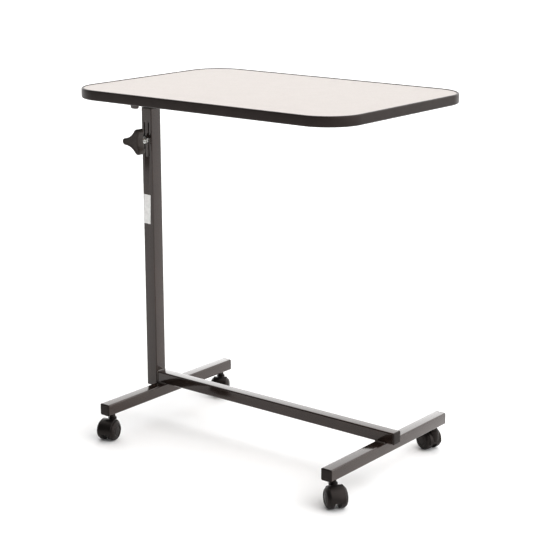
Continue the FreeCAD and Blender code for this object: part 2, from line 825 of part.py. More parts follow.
def make_hood(name, x, y):
    """The hood's fender is the part of a drum left outside both wheels; a web joins it to the axle."""
    drum = doc.addObject("Part::Cylinder", "drum")
    bind(drum, Radius="hood_radius", Height="hood_width", Angle="hood_span")
    start = FreeCAD.Rotation(FreeCAD.Vector(0, 1, 0), -sizes.hood_back_angle)
    put(drum, "castor_trail", "hood_width / 2", "wheel_radius", start * TOWARDS_USER)
    hub = cylinder("2 * hub_radius", "web_thickness", x="castor_trail", y="web_thickness / 2",
                   z="wheel_radius", turn=TOWARDS_USER)
    boss = cylinder("2 * boss_radius", "hood_radius", z="wheel_radius")
    room = {"x": "castor_trail", "z": "wheel_radius"}
    room_size = ("2 * (wheel_radius + hood_clearance)", "hood_width")
    left = cylinder(*room_size, y="web_thickness / 2", turn=ALONG_Y, **room)
    right = cylinder(*room_size, y="-web_thickness / 2", turn=TOWARDS_USER, **room)
    pin_bottom = "foot_bottom - neck_height - pin_length - neck_gap"
    pin_bore = cylinder("pin_diameter + 2 * axle_clearance", "foot_bottom", z=pin_bottom)
    axle_bore = cylinder("axle_diameter", "hood_width", y="hood_width / 2", turn=TOWARDS_USER, **room)
    hood = cut(joined(drum, hub, boss), left, right, pin_bore, axle_bore)
    put(finished(hood, name + "_castor_hood"), x, y, turn=castor_rotation(name))


def make_wheel(name, side, x, y):
    wheel = new_body(f"{name}_wheel_{side}")
    disc = sketch_on(wheel, "XY_Plane")
    add_circle(disc, "2 * wheel_radius")
    pad(wheel, disc, "wheel_width")
    round_edges(wheel, "wheel_round", at_height(sizes.wheel_width))
    round_edges(wheel, "wheel_edge", at_height(0))
    bore = sketch_on(wheel, "XY_Plane")
    add_circle(bore, "axle_bore")
    pocket(wheel, bore, "bore_depth", away=True)
    across, turn = ("wheel_inner", ALONG_Y) if side == "left" else ("-wheel_inner", TOWARDS_USER)
    at_x, at_y = castor_point(name, x, y, "castor_trail", across)
    put(wheel, at_x, at_y, "wheel_radius", castor_rotation(name, turn))


def make_castor(name, x, y):
    make_hood(name, x, y)
    at_x, at_y = castor_point(name, x, y, "castor_trail", "-axle_length / 2")
    axle = finished(cylinder("axle_diameter", "axle_length"), name + "_castor_axle")
    put(axle, at_x, at_y, "wheel_radius", castor_rotation(name, ALONG_Y))
    make_wheel(name, "left", x, y)
    make_wheel(name, "right", x, y)


def make_castor_mounts():
    """What holds each castor: a threaded insert in the foot tube and the stem screwed into it."""
    inserts, stems = [], []
    for x, y in CASTORS.values():
        block = cylinder("insert_width", "foot_bore")
        bore = cylinder("stem_diameter", "foot_bore")
        inserts.append(put(cut(block, bore), x, y, "foot_bottom + foot_wall"))
        neck_z = "foot_bottom - neck_height"
        thread = cylinder("stem_diameter", "neck_height + stem_length", z=neck_z)
        neck = cylinder("neck_diameter", "neck_height", z=neck_z)
        pin = cylinder("pin_diameter", "pin_length + neck_height", z=f"{neck_z} - pin_length")
        stems.append(put(joined(thread, neck, pin), x, y))
    group("castor_inserts", inserts)
    group("castor_stems", stems)


# ---- checks and files

def check_document():
    for thing in doc.Objects:
        if {"Invalid", "Error"} & set(thing.State):
            raise RuntimeError(f"{thing.Label} ({thing.Name}) failed: {thing.State}")
    for thing in sub_parts:
        if thing.Shape.isNull() or not thing.Shape.isValid():
            raise RuntimeError(f"{thing.Label} has no valid shape")


def write_parts():
    os.makedirs("parts", exist_ok=True)
    for thing in sub_parts:
        thing.Shape.exportStep(f"parts/{thing.Label}.step")
        print(f"{thing.Label:28s} {thing.Shape.Volume:12.1f} mm3, {len(thing.Shape.Solids)} solid(s)")


sizes = make_sheet()
places = make_places()

make_mast()
make_guide_collar()
make_base_tubes()
make_end_caps()
make_weld_beads()
make_castor_mounts()
make_clamp_nut()
make_label()
make_knob()
make_stud()
make_inner_tube()
make_saddle()
make_bolt()
make_arm()
plate_screws, rail_screws = screw_places()
flat_plate("head_plate", "plate_length", "plate_width", "plate_x", plate_screws)
flat_plate("cross_rail", "rail_width", "rail_length", "rail_x", rail_screws)
make_screws(plate_screws + rail_screws)
make_core(plate_screws + rail_screws)
laminate("backing_laminate", "underside", plate_screws + rail_screws)
laminate("top_laminate", "core_bottom + core_thickness")
make_moulding()
for castor, (castor_x, castor_y) in CASTORS.items():
    make_castor(castor, castor_x, castor_y)

doc.recompute()
check_document()
write_parts()
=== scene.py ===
import json
import math

import bmesh
import bpy
from mathutils import Matrix, Vector


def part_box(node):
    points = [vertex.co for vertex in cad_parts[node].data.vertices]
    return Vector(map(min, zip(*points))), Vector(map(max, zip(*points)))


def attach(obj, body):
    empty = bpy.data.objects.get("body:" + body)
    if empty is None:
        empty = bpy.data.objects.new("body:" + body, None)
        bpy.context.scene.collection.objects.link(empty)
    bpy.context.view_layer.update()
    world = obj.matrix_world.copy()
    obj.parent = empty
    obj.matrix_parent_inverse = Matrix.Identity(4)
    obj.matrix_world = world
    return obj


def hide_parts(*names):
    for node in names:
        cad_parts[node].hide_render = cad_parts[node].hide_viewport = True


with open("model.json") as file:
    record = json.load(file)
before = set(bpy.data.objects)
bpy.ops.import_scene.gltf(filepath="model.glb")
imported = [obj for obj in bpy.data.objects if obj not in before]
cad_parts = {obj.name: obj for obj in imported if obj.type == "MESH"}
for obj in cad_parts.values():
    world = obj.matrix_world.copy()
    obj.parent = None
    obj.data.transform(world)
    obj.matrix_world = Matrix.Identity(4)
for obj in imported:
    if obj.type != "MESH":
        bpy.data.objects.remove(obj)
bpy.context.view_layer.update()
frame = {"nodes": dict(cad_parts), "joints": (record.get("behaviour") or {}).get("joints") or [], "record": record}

MM = 0.001
X, Y, Z = Vector((1, 0, 0)), Vector((0, 1, 0)), Vector((0, 0, 1))
JOINTS = {joint["name"]: joint for joint in frame["joints"]}
CASTORS = ("mast_front", "mast_rear", "far_front", "far_rear")

# ---- sizes that a node's box doesn't give, in millimetres and degrees

# How meshes are drawn. A cutter stands out of what it cuts by the margin, and a flat end's last
# ring lies in from its edge.
LEAST_RADIUS = 0.25
SHARP_ANGLE = 35
BEVEL_ANGLE, BEVEL_SEGMENTS = 40, 3
CUT_MARGIN = 1.0
END_RING = 2.0
ROUND_STEPS, SCREW_STEPS, WHEEL_STEPS = 48, 40, 96

# Noise is read between these values, of the 0 to 1 that it gives.
NOISE_LOW, NOISE_HIGH, NOISE_ROUGHNESS = 0.35, 0.65, 0.55

# Tubes.
TUBE_WALL, TUBE_CORNER = 1.5, 2.5
MAST_CORNER = 2.0
INNER_WALL, INNER_CORNER = 1.2, 2.0
BORE_CORNER = 0.5
CUT_ROUND = 0.25
SLIT_SPACING, SLIT_WIDTH, SLIT_LENGTH = 10.0, 2.5, 66.0
SLIT_CORNER, SLIT_BEVEL = 0.5, 0.15

# Tube ends. A profile's corners are (inset, height, radius).
CAP_FLANGE, CAP_DEPTH = 2.5, 7.0
CAP_STEP, CAP_RIBS = 0.3, 3
CAP_PILLOW = ((1.8, 0.15, 1.5), (0, 1.1, 0.8))
CAP_SEAT_ROUND, CAP_TIP_ROUND = 0.15, 0.4
CAP_TIP, CAP_TIP_RING = 1.0, 1.0

# Welds. A bead starts and ends thinner, its ripples slip along it, and its size wanders a little.
WELD_LEG = 2.0
BEAM_DROP = 6.5
BEAD_PITCH, BEAD_STEPS, BEAD_FACETS = 1.6, 6, 8
BEAD_FLATNESS = 0.12
BEAD_END, BEAD_RISE = 0.45, 0.3
BEAD_SLIP = 0.4
RIPPLE, WANDER, WANDER_TURN = 0.1, 0.05, 0.37

# Guide collar.
SLIDE_ROOM = 0.2
COLLAR_LIP, COLLAR_RING = 2.0, 0.4
COLLAR_FOOT_ROUND, COLLAR_LIP_ROUND, COLLAR_MOUTH_ROUND, COLLAR_SEAT_ROUND = 0.3, 0.8, 0.6, 0.1

# Fasteners. A hexagon's corners are cut by a cone: its reach is a share of the width, and it opens
# by so much for each millimetre of depth. Levels are the heights at which its rings lie.
STUD, THREAD_PITCH = 8.0, 1.25
THREAD_DEPTH, THREAD_FLANK = 0.6, 2.6
NUT_ROOM = 0.16
HEX_REACH, HEX_CONE = 0.475, 1.9
HEX_LEVEL, HEX_LEVELS, HEX_STEPS = 0.15, 6, 10
BORE_CHAMFER, BORE_CHAMFER_HEIGHT = 0.5, 0.7
BOLT_HEAD, BOLT_BARE = 5.3, 70
SCREW_MARGIN = 15.0
SCREW_HEAD, SCREW_HEAD_HEIGHT, SCREW_SHANK = 4.0, 2.5, 2.0
SCREW_PAN = ((3.6, 0, 0), (1.0, 0.2, 1.0), (0, 1.6, 0.6))
SCREW_RIM_ROUND = 0.1
RECESS_LENGTH, RECESS_WIDTH, RECESS_CORNER, RECESS_TAPER, RECESS_HEIGHT = 4.4, 0.9, 0.3, 0.25, 2.4
SCREW_TURN = 37

# Knob: its lobes, then its back edge and the corners (inset, depth, radius) of its dished face.
KNOB_RADIUS, KNOB_TIP, KNOB_FLANK, KNOB_ANGLE = 27.0, 6.5, 34.0, 63.0
KNOB_CORE, KNOB_BACK_ROUND = 0.5, 1.5
KNOB_FACE = ((0, 1.2, 2.5), (4.2, 0.2, 0.8), (4.6, 1.0, 0.3))
KNOB_DISH = 1.0
KNOB_CENTRE = Vector(JOINTS["knob_turn"]["pos_m"]) / MM

# Saddle and plates.
SADDLE_WALL, SADDLE_BEND, SADDLE_CORNER, SADDLE_EDGE = 4.0, 2.0, 4.0, 0.4
CHEEK_STEPS = 12
PLATE_CORNER, PLATE_EDGE = 5.0, 0.5

# Top. The moulding's outer face, the bead that stands above the laminate, and its tongue in the
# core. Faces of the sheet that tilt more than the last value show the brown edge of the laminate.
TOP_CORNER, TOP_STEPS = 68.0, 28
MOULDING, MOULDING_BEAD = 4.0, 1.0
MOULDING_BELLY, MOULDING_SHOULDER, MOULDING_RIDGE = 3.0, 2.2, 0.25
TONGUE, TONGUE_DEPTH = 2.0, 8.0
SHEET_FOOT_ROUND, SHEET_CHAMFER, SHEET_CHAMFER_WIDTH = 0.1, 0.3, 0.35
SHEET_TOP_RING, SHEET_FOOT_RING = 3.0, 1.0
FACE_TILT = 0.95

# Castors: the room for a wheel, the hood over it, the web, hub and boss, then the wheel and the
# corners (inset, depth, radius) of the ring in its outer face.
WHEEL_ROOM, ROOM_MARGIN = 19.5, 5.0
HOOD_WALL, HOOD_WIDTH, HOOD_START, HOOD_SPAN, HOOD_STEPS = 1.5, 27.0, -10.0, 205.0, 60
HOOD_CORE, WEB = 5.0, 9.4
WEB_ROUND, LIP_ROUND, SHELL_ROUND, HOOD_BEVEL = 0.6, 0.4, 1.0, 0.25
HUB_RADIUS = 6.2
BOSS_RADIUS, BOSS_ROUND, BOSS_RING = 8.0, 0.8, 3.0
WHEEL_WIDTH, WHEEL_INNER, WHEEL_DISH = 15.0, 5.0, 1.2
AXLE_BORE, AXLE_CAP, HUB_RING = 2.05, 1.0, 0.4
BORE_ROUND, TREAD_CHAMFER, TREAD_ROUND, WHEEL_SHOULDER = 0.2, 0.8, 0.4, 7.4
WHEEL_FACE = ((8.2, 0, 0.4), (8.7, 0.9, 0.3), (10.6, 0.9, 0.3), (11.1, 0.1, 0.4), (15.5, 0, 1.0))

# Stage: metres, degrees and the strengths of the lights.
CAMERA, YAW, PITCH, LENS, SENSOR = (1.6467, -2.0618, 1.0223), 38.244, 14.708, 97.34, 36
FLOOR_REACH = 60
DARK_SIDE = Vector((-0.25, -1.0, 0.0))
DARK_FROM, DARK_TO = -0.2, 0.7
BRIGHT, DIM = 1.95, 0.12
KEY_DIRECTION, KEY_SPREAD, KEY_STRENGTH = (0.95, 0.12, 0.7), 75, 1.2
GAMMA = 0.88


# ---- outlines: each gives the points of a closed loop, drawn in by an inset

def rounded_outline(size_x, size_y, corner, steps=8):
    def outline(inset):
        radius = max(corner - inset, LEAST_RADIUS)
        reach_x, reach_y = size_x / 2 - inset - radius, size_y / 2 - inset - radius
        points = []
        for turn, (x, y) in enumerate(((1, 1), (-1, 1), (-1, -1), (1, -1))):
            for step in range(steps + 1):
                angle = math.radians(90 * (turn + step / steps))
                at_x = x * reach_x + radius * math.cos(angle)
                points.append((at_x, y * reach_y + radius * math.sin(angle)))
        return points
    return outline


def round_outline(radius, steps):
    def outline(inset):
        turns = (2 * math.pi * step / steps for step in range(steps))
        return [((radius - inset) * math.cos(a), (radius - inset) * math.sin(a)) for a in turns]
    return outline


def lobed_outline(radius, tip, flank, first, steps=18):
    """Three tips of one radius, joined by hollow flanks that meet them in tangents."""
    reach = radius - tip
    span = reach / 2 + math.sqrt((flank + tip) ** 2 - 0.75 * reach ** 2)
    swing = math.degrees(math.asin(reach * math.sin(math.radians(60)) / (flank + tip)))

    def outline(inset):
        points = []
        for lobe in range(3):
            middle = first + 120 * lobe
            centre = polar(reach, middle)
            points += arc(centre, tip - inset, middle - 60 - swing, middle + 60 + swing, steps)
            centre = polar(span, middle + 60)
            points += arc(centre, flank + inset, middle + 240 + swing, middle + 240 - swing, steps)[1:-1]
        return points
    return outline


def polar(radius, degrees):
    angle = math.radians(degrees)
    return Vector((radius * math.cos(angle), radius * math.sin(angle)))


def arc(centre, radius, start, end, steps):
    turns = (start + (end - start) * step / steps for step in range(steps + 1))
    return [tuple(centre + polar(radius, turn)) for turn in turns]


def rounded(corners, closed=False, steps=5):
    """A profile through corners (inset, height, radius), each turned into an arc."""
    points = []
    last = len(corners) - 1
    for index, (inset, height, radius) in enumerate(corners):
        at = Vector((inset, height))
        if not radius or (not closed and index in (0, last)):
            points.append((inset, height))
            continue
        before = (Vector(corners[index - 1][:2]) - at).normalized()
        after = (Vector(corners[(index + 1) % (last + 1)][:2]) - at).normalized()
        half = before.angle(after) / 2
        centre = at + (before + after).normalized() * radius / math.sin(half)
        start = at + before * radius / math.tan(half) - centre
        swing = start.angle_signed(at + after * radius / math.tan(half) - centre)
        for step in range(steps + 1):
            spoke = start.copy()
            spoke.rotate(Matrix.Rotation(-swing * step / steps, 2))
            points.append(tuple(centre + spoke))
    return points


# ---- meshes, drawn in millimetres and stored in metres

def axes(origin, along, across):
    """The matrix of a piece whose own Z runs along one direction and X along another."""
    sideways = along.cross(across)
    turn = Matrix((across, sideways, along)).transposed().to_4x4()
    return Matrix.Translation(origin) @ turn @ Matrix.Scale(MM, 4)


def placed(x, y, z, along=Z, across=X):
    """The matrix of a piece whose origin is given in millimetres."""
    return axes(Vector((x, y, z)) * MM, along, across)


def rings_of(outline, profile):
    return [[(x, y, height) for x, y in outline(inset)] for inset, height in profile]


def stack(name, outline, profile, place, closed=False):
    """A skin whose rings repeat one outline at the insets and heights of a profile."""
    return loft(name, rings_of(outline, profile), place, closed)


def loft(name, rings, place, closed=False):
    """A skin through rings of equal length: joined end to end, or closed by two flat ends."""
    mesh = bmesh.new()
    loops = [[mesh.verts.new(point) for point in ring] for ring in rings]
    following = loops[1:] + loops[:1] if closed else loops[1:]
    for lower, upper in zip(loops, following):
        for index, corner in enumerate(lower):
            beside = (index + 1) % len(lower)
            mesh.faces.new((corner, lower[beside], upper[beside], upper[index]))
    if not closed:
        mesh.faces.new(loops[0][::-1])
        mesh.faces.new(loops[-1])
    return made(name, mesh, place)


def made(name, mesh, place):
    mesh.transform(place)
    bmesh.ops.recalc_face_normals(mesh, faces=mesh.faces)
    data = bpy.data.meshes.new(name)
    mesh.to_mesh(data)
    mesh.free()
    piece = bpy.data.objects.new(name, data)
    bpy.context.scene.collection.objects.link(piece)
    shade(piece)
    return piece


def shade(piece):
    """Smooth shading, broken at the sharp edges."""
    mesh = bmesh.new()
    mesh.from_mesh(piece.data)
    for face in mesh.faces:
        face.smooth = True
    for edge in mesh.edges:
        edge.smooth = edge.calc_face_angle(math.pi) < math.radians(SHARP_ANGLE)
    mesh.to_mesh(piece.data)
    mesh.free()


def joined(name, pieces):
    """Several drawn pieces as one, under a new name."""
    mesh = bmesh.new()
    for piece in pieces:
        mesh.from_mesh(piece.data)
        remove(piece)
    return made(name, mesh, Matrix())


def remove(piece):
    data = piece.data
    bpy.data.objects.remove(piece)
    bpy.data.meshes.remove(data)


def carved(piece, operation, tools, bevel=0.0):
    """The piece after booleans with the tools, its edges softened by a bevel if one is given."""
    for tool in tools:
        modifier = piece.modifiers.new("cut", "BOOLEAN")
        modifier.operation = operation
        modifier.solver = "EXACT"
        modifier.object = tool
        bake(piece)
        remove(tool)
    if bevel:
        modifier = piece.modifiers.new("soften", "BEVEL")
        modifier.width = bevel * MM
        modifier.segments = BEVEL_SEGMENTS
        modifier.limit_method = "ANGLE"
        modifier.angle_limit = math.radians(BEVEL_ANGLE)
        modifier.use_clamp_overlap = True
        bake(piece)
    shade(piece)
    return piece


def bake(piece):
    """Apply the piece's modifiers to its mesh."""
    bpy.context.view_layer.update()
    graph = bpy.context.evaluated_depsgraph_get()
    data = bpy.data.meshes.new_from_object(piece.evaluated_get(graph))
    old = piece.data
    piece.modifiers.clear()
    piece.data = data
    bpy.data.meshes.remove(old)


def finish_piece(piece, material, body, node):
    """Give a piece its material and its body, and hide the CAD node that it stands for."""
    piece.data.materials.clear()
    piece.data.materials.append(material)
    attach(piece, body)
    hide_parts(node)


def box_of(node):
    """A node's lowest corner, size and middle, in millimetres."""
    low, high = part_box(node)
    return low / MM, (high - low) / MM, (low + high) / 2 / MM


# ---- procedural materials

class Look:
    """A Principled material with the few nodes that most of the finishes need."""

    def __init__(self, name, color, roughness, **inputs):
        self.material = bpy.data.materials.new(name)
        self.material.use_nodes = True
        self.tree = self.material.node_tree
        self.shader = self.tree.nodes["Principled BSDF"]
        for title, value in {"base_color": (*color, 1), "roughness": roughness, **inputs}.items():
            socket = title.replace("_", " ").title().replace("Ior", "IOR")
            self.shader.inputs[socket].default_value = value
        self.place = self.node("ShaderNodeTexCoord").outputs["Object"]

    def node(self, kind, **inputs):
        node = self.tree.nodes.new(kind)
        for name, value in inputs.items():
            node.inputs[name].default_value = value
        return node

    def link(self, source, node, socket):
        self.tree.links.new(source, node.inputs[socket])

    def stretched(self, stretch):
        """Object coordinates scaled differently along each axis."""
        node = self.node("ShaderNodeMapping", Scale=stretch)
        self.link(self.place, node, "Vector")
        return node.outputs["Vector"]

    def noise(self, size, detail=3.0, stretch=None):
        """Noise with features of about that size in millimetres, from 0 to 1."""
        scale = 1 / (size * MM)
        node = self.node("ShaderNodeTexNoise", Scale=scale, Detail=detail, Roughness=NOISE_ROUGHNESS)
        self.link(self.stretched(stretch) if stretch else self.place, node, "Vector")
        return node.outputs["Fac"]

    def ramp(self, source, low, high):
        """A number between two values, or a colour between two colours, that follows a noise."""
        if isinstance(low, tuple):
            node = self.tree.nodes.new("ShaderNodeValToRGB")
            stops = node.color_ramp.elements
            stops[0].position, stops[0].color = NOISE_LOW, (*low, 1)
            stops[1].position, stops[1].color = NOISE_HIGH, (*high, 1)
            self.link(source, node, "Fac")
            return node.outputs["Color"]
        node = self.tree.nodes.new("ShaderNodeMapRange")
        set_range(node, NOISE_LOW, NOISE_HIGH, low, high)
        self.link(source, node, "Value")
        return node.outputs["Result"]

    def vary(self, socket, source, low, high):
        self.link(self.ramp(source, low, high), self.shader, socket)

    def bump(self, source, height):
        """Relief of a height in millimetres."""
        node = self.node("ShaderNodeBump", Strength=1.0, Distance=height * MM)
        self.link(source, node, "Height")
        self.link(node.outputs["Normal"], self.shader, "Normal")


def set_range(node, start, end, low, high):
    """A Map Range node that takes start..end to low..high."""
    for name, value in (("From Min", start), ("From Max", end), ("To Min", low), ("To Max", high)):
        node.inputs[name].default_value = value


# The dark finishes reflect a little warmly.
WARM = (1.0, 0.87, 0.82, 1)


def tint(color, factor):
    return tuple(part * factor for part in color)


def painted_steel():
    color = (0.024, 0.0155, 0.0125)
    look = Look("painted_steel", color, 0.16, ior=1.42, coat_weight=1.0, coat_roughness=0.08,
                coat_ior=1.38, specular_tint=WARM)
    look.vary("Base Color", look.noise(60), tint(color, 0.9), tint(color, 1.12))
    look.vary("Roughness", look.noise(9), 0.14, 0.2)
    return look.material


def inner_tube_paint():
    color = (0.11, 0.096, 0.086)
    look = Look("inner_tube_paint", color, 0.4, metallic=0.15)
    rubbed = look.noise(4, 2.0, (1, 1, 0.04))
    look.vary("Base Color", rubbed, tint(color, 0.85), tint(color, 1.2))
    look.vary("Roughness", rubbed, 0.34, 0.5)
    look.bump(rubbed, 0.012)
    return look.material


def moulded_plastic(name, color, roughness, grain, relief):
    """Injection-moulded plastic: a fine spark-eroded grain and slow changes of gloss."""
    look = Look(name, color, roughness, specular_ior_level=0.3, specular_tint=WARM)
    look.vary("Base Color", look.noise(12), tint(color, 0.88), tint(color, 1.15))
    look.vary("Roughness", look.noise(5), roughness - 0.04, roughness + 0.06)
    look.bump(look.noise(grain, 2.0), relief)
    return look.material


def plated_metal(name, color, roughness):
    look = Look(name, color, roughness, metallic=1.0)
    look.vary("Base Color", look.noise(3), tint(color, 0.9), tint(color, 1.06))
    look.vary("Roughness", look.noise(1.2), roughness - 0.06, roughness + 0.1)
    look.bump(look.noise(0.6, 2.0), 0.006)
    return look.material


def weld_metal():
    color = (0.06, 0.048, 0.042)
    look = Look("painted_weld", color, 0.32, coat_weight=0.3, coat_roughness=0.15)
    look.vary("Base Color", look.noise(2), tint(color, 0.8), tint(color, 1.2))
    look.bump(look.noise(0.7, 2.0), 0.05)
    return look.material


def cream_laminate():
    color = (0.468, 0.43, 0.406)
    look = Look("cream_laminate", color, 0.45, specular_ior_level=0.2)
    look.vary("Base Color", look.noise(25, 4.0), tint(color, 0.985), tint(color, 1.01))
    look.vary("Roughness", look.noise(3, 2.0), 0.42, 0.5)
    look.bump(look.noise(0.9, 2.0), 0.012)
    return look.material


def brown_phenolic():
    color = (0.16, 0.075, 0.045)
    look = Look("brown_phenolic", color, 0.5)
    look.vary("Base Color", look.noise(2, 4.0), tint(color, 0.8), tint(color, 1.25))
    look.bump(look.noise(0.5), 0.01)
    return look.material


def backing_sheet():
    color = (0.34, 0.25, 0.18)
    look = Look("backing_sheet", color, 0.55)
    look.vary("Base Color", look.noise(6, 5.0, (0.25, 1, 1)), tint(color, 0.9), tint(color, 1.12))
    look.bump(look.noise(0.8, 3.0), 0.02)
    return look.material


def dark_vinyl():
    color = (0.019, 0.0145, 0.0132)
    look = Look("dark_vinyl", color, 0.3, specular_ior_level=0.25, specular_tint=WARM)
    look.vary("Base Color", look.noise(30), tint(color, 0.9), tint(color, 1.15))
    look.vary("Roughness", look.noise(7), 0.3, 0.38)
    look.bump(look.noise(1.1, 2.0), 0.012)
    return look.material


def label_film():
    color = (0.9, 0.9, 0.885)
    look = Look("label_film", color, 0.35)
    look.vary("Base Color", look.noise(7, 3.0), tint(color, 0.93), tint(color, 1.05))
    look.bump(look.noise(6, 2.0), 0.05)
    return look.material


def particle_board():
    look = Look("particle_board", (0.5, 0.36, 0.22), 0.8)
    look.vary("Base Color", look.noise(2.5, 6.0), (0.38, 0.26, 0.15), (0.62, 0.47, 0.31))
    look.bump(look.noise(1.2, 4.0), 0.2)
    return look.material


PAINT = painted_steel()
INNER_PAINT = inner_tube_paint()
WELD = weld_metal()
ZINC = plated_metal("bright_zinc", (0.66, 0.66, 0.64), 0.28)
# Dark steel for the castor stems is painted shade. It stands in for the shade that the zinc-plated stems sit in
# under the hoods.
PAINTED_SHADE_STEEL = plated_metal("painted_shade_steel", (0.05, 0.045, 0.042), 0.4)
PIN_STEEL = plated_metal("ground_steel", (0.5, 0.5, 0.5), 0.35)
BRASS = plated_metal("turned_brass", (0.68, 0.5, 0.22), 0.3)
CAP_PLASTIC = moulded_plastic("cap_plastic", (0.011, 0.0085, 0.008), 0.42, 0.6, 0.02)
GUIDE_PLASTIC = moulded_plastic("guide_plastic", (0.03, 0.027, 0.025), 0.5, 0.4, 0.01)
KNOB_PLASTIC = moulded_plastic("knob_plastic", (0.04, 0.035, 0.032), 0.36, 0.5, 0.015)
CASTOR_PLASTIC = moulded_plastic("castor_plastic", (0.008, 0.0068, 0.0066), 0.34, 0.5, 0.012)
WHEEL_PLASTIC = moulded_plastic("wheel_plastic", (0.009, 0.0076, 0.0073), 0.38, 0.45, 0.012)
CREAM = cream_laminate()
PHENOLIC = brown_phenolic()
BACKING = backing_sheet()
VINYL = dark_vinyl()
LABEL = label_film()
BOARD = particle_board()

# Finishes of the CAD solids, by the record's slot.
SLOT_LOOKS = {
    "painted_steel": PAINT,
    "inner_tube_steel": INNER_PAINT,
    "zinc_steel": ZINC,
    "axle_steel": PIN_STEEL,
    "insert_brass": BRASS,
    "black_plastic": CAP_PLASTIC,
    "guide_plastic": GUIDE_PLASTIC,
    "knob_plastic": KNOB_PLASTIC,
    "castor_plastic": CASTOR_PLASTIC,
    "wheel_plastic": WHEEL_PLASTIC,
    "label_film": LABEL,
    "particle_board": BOARD,
    "cream_laminate": CREAM,
    "backing_sheet": BACKING,
    "dark_moulding": VINYL,
}


def dress_cad_solids():
    for part in frame["record"]["subparts"]:
        solid = frame["nodes"][part["node"]]
        solid.data.materials.clear()
        solid.data.materials.append(SLOT_LOOKS[part["material_slot"]])
    # The zinc castor stems get the dark steel instead: painted shade for the shade they sit in.
    frame["nodes"]["castor_stems"].data.materials[0] = PAINTED_SHADE_STEEL


# ---- tubes and their ends

def tube(name, place, size, wall, corner, length):
    """A hollow tube along its own Z, its cut ends slightly rounded."""
    bore = [side - 2 * wall for side in size]
    outer = rounded_outline(*size, corner)
    inner = rounded_outline(*bore, max(corner - wall, BORE_CORNER))
    half = wall / 2
    outside = rounded([(half, 0, 0), (0, 0, CUT_ROUND), (0, length, CUT_ROUND), (half, length, 0)])
    inside = rounded([(-half, length, 0), (0, length, CUT_ROUND), (0, 0, CUT_ROUND), (-half, 0, 0)])
    return loft(name, rings_of(outer, outside) + rings_of(inner, inside[1:-1]), place, closed=True)


def end_cap(name, place, size, wall, corner, depth):
    """A plastic tube end: a pillowed flange, then the ribbed plug inside the tube."""
    plug, tip = wall + CAP_STEP, CAP_FLANGE + depth
    crest = plug - CAP_STEP
    pitch = (depth - CAP_TIP) / (2 * CAP_RIBS)
    profile = [(size[0] / 3, 0, 0), *CAP_PILLOW, (0, CAP_FLANGE, CAP_SEAT_ROUND), (plug, CAP_FLANGE, 0)]
    for rib in range(CAP_RIBS):
        low = CAP_FLANGE + (2 * rib + 1) * pitch
        profile += [(plug, low, 0), (crest, low + CAP_STEP, 0)]
        profile += [(crest, low + pitch, 0), (plug, low + pitch + CAP_STEP, 0)]
    profile += [(plug, tip, CAP_TIP_ROUND), (plug + CAP_TIP_RING, tip, 0)]
    return stack(name, rounded_outline(*size, corner), rounded(profile), place)


def make_mast():
    low, size, middle = box_of("outer_mast_tube")
    place = placed(middle.x, 0, low.z)
    mast = tube("outer_mast_tube_skin", place, (size.x, size.x), TUBE_WALL, MAST_CORNER, size.z)
    front = -size.x / 2 - CUT_MARGIN
    outline = rounded_outline(SLIT_WIDTH, SLIT_LENGTH, SLIT_CORNER)
    slits = []
    for side in (-1, 1):
        place = placed(middle.x + side * SLIT_SPACING / 2, front, KNOB_CENTRE.z, Y, X)
        slits.append(stack("slit", outline, [(0, 0), (0, TUBE_WALL + 2 * CUT_MARGIN)], place))
    carved(mast, "DIFFERENCE", slits, bevel=SLIT_BEVEL)
    finish_piece(mast, PAINT, "base", "outer_mast_tube")


def make_foot_tube(node):
    low, size, middle = box_of(node)
    place = placed(middle.x, low.y, middle.z, Y, X)
    foot = tube(node + "_skin", place, (size.x, size.z), TUBE_WALL, TUBE_CORNER, size.y)
    finish_piece(foot, PAINT, "base", node)


def make_beam():
    low, size, middle = box_of("base_beam_tube")
    place = placed(low.x, 0, middle.z, X, Y)
    beam = tube("base_beam_tube_skin", place, (size.y, size.z), TUBE_WALL, TUBE_CORNER, size.x)
    finish_piece(beam, PAINT, "base", "base_beam_tube")


def make_end_caps():
    caps = []
    for node in ("mast_side_foot_tube", "far_foot_tube"):
        low, size, middle = box_of(node)
        for y, inward in ((low.y - CAP_FLANGE, Y), (low.y + size.y + CAP_FLANGE, -Y)):
            place = placed(middle.x, y, middle.z, inward, X)
            caps.append(end_cap("cap", place, (size.x, size.z), TUBE_WALL, TUBE_CORNER, CAP_DEPTH))
    finish_piece(joined("foot_end_caps_skin", caps), CAP_PLASTIC, "base", "foot_end_caps")
    low, size, middle = box_of("beam_end_cap")
    place = placed(low.x + size.x, 0, middle.z, -X, Y)
    cap = end_cap("beam_end_cap_skin", place, (size.y, size.z), TUBE_WALL, TUBE_CORNER, CAP_DEPTH)
    finish_piece(cap, CAP_PLASTIC, "base", "beam_end_cap")
    low, size, middle = box_of("mast_foot_plug")
    place = placed(middle.x, 0, low.z)
    depth = size.z - CAP_FLANGE
    plug = end_cap("mast_foot_plug_skin", place, (size.x, size.x), TUBE_WALL, MAST_CORNER, depth)
    finish_piece(plug, CAP_PLASTIC, "base", "mast_foot_plug")


# ---- welds

def bead_section(leg):
    """A weld's root, then its face, which is flatter than a quarter circle."""
    points = [(0, 0)]
    for step in range(BEAD_FACETS + 1):
        angle = math.radians(90 * step / BEAD_FACETS)
        reach = leg * (1 - BEAD_FLATNESS * math.sin(2 * angle))
        points.append((reach * math.cos(angle), reach * math.sin(angle)))
    return points


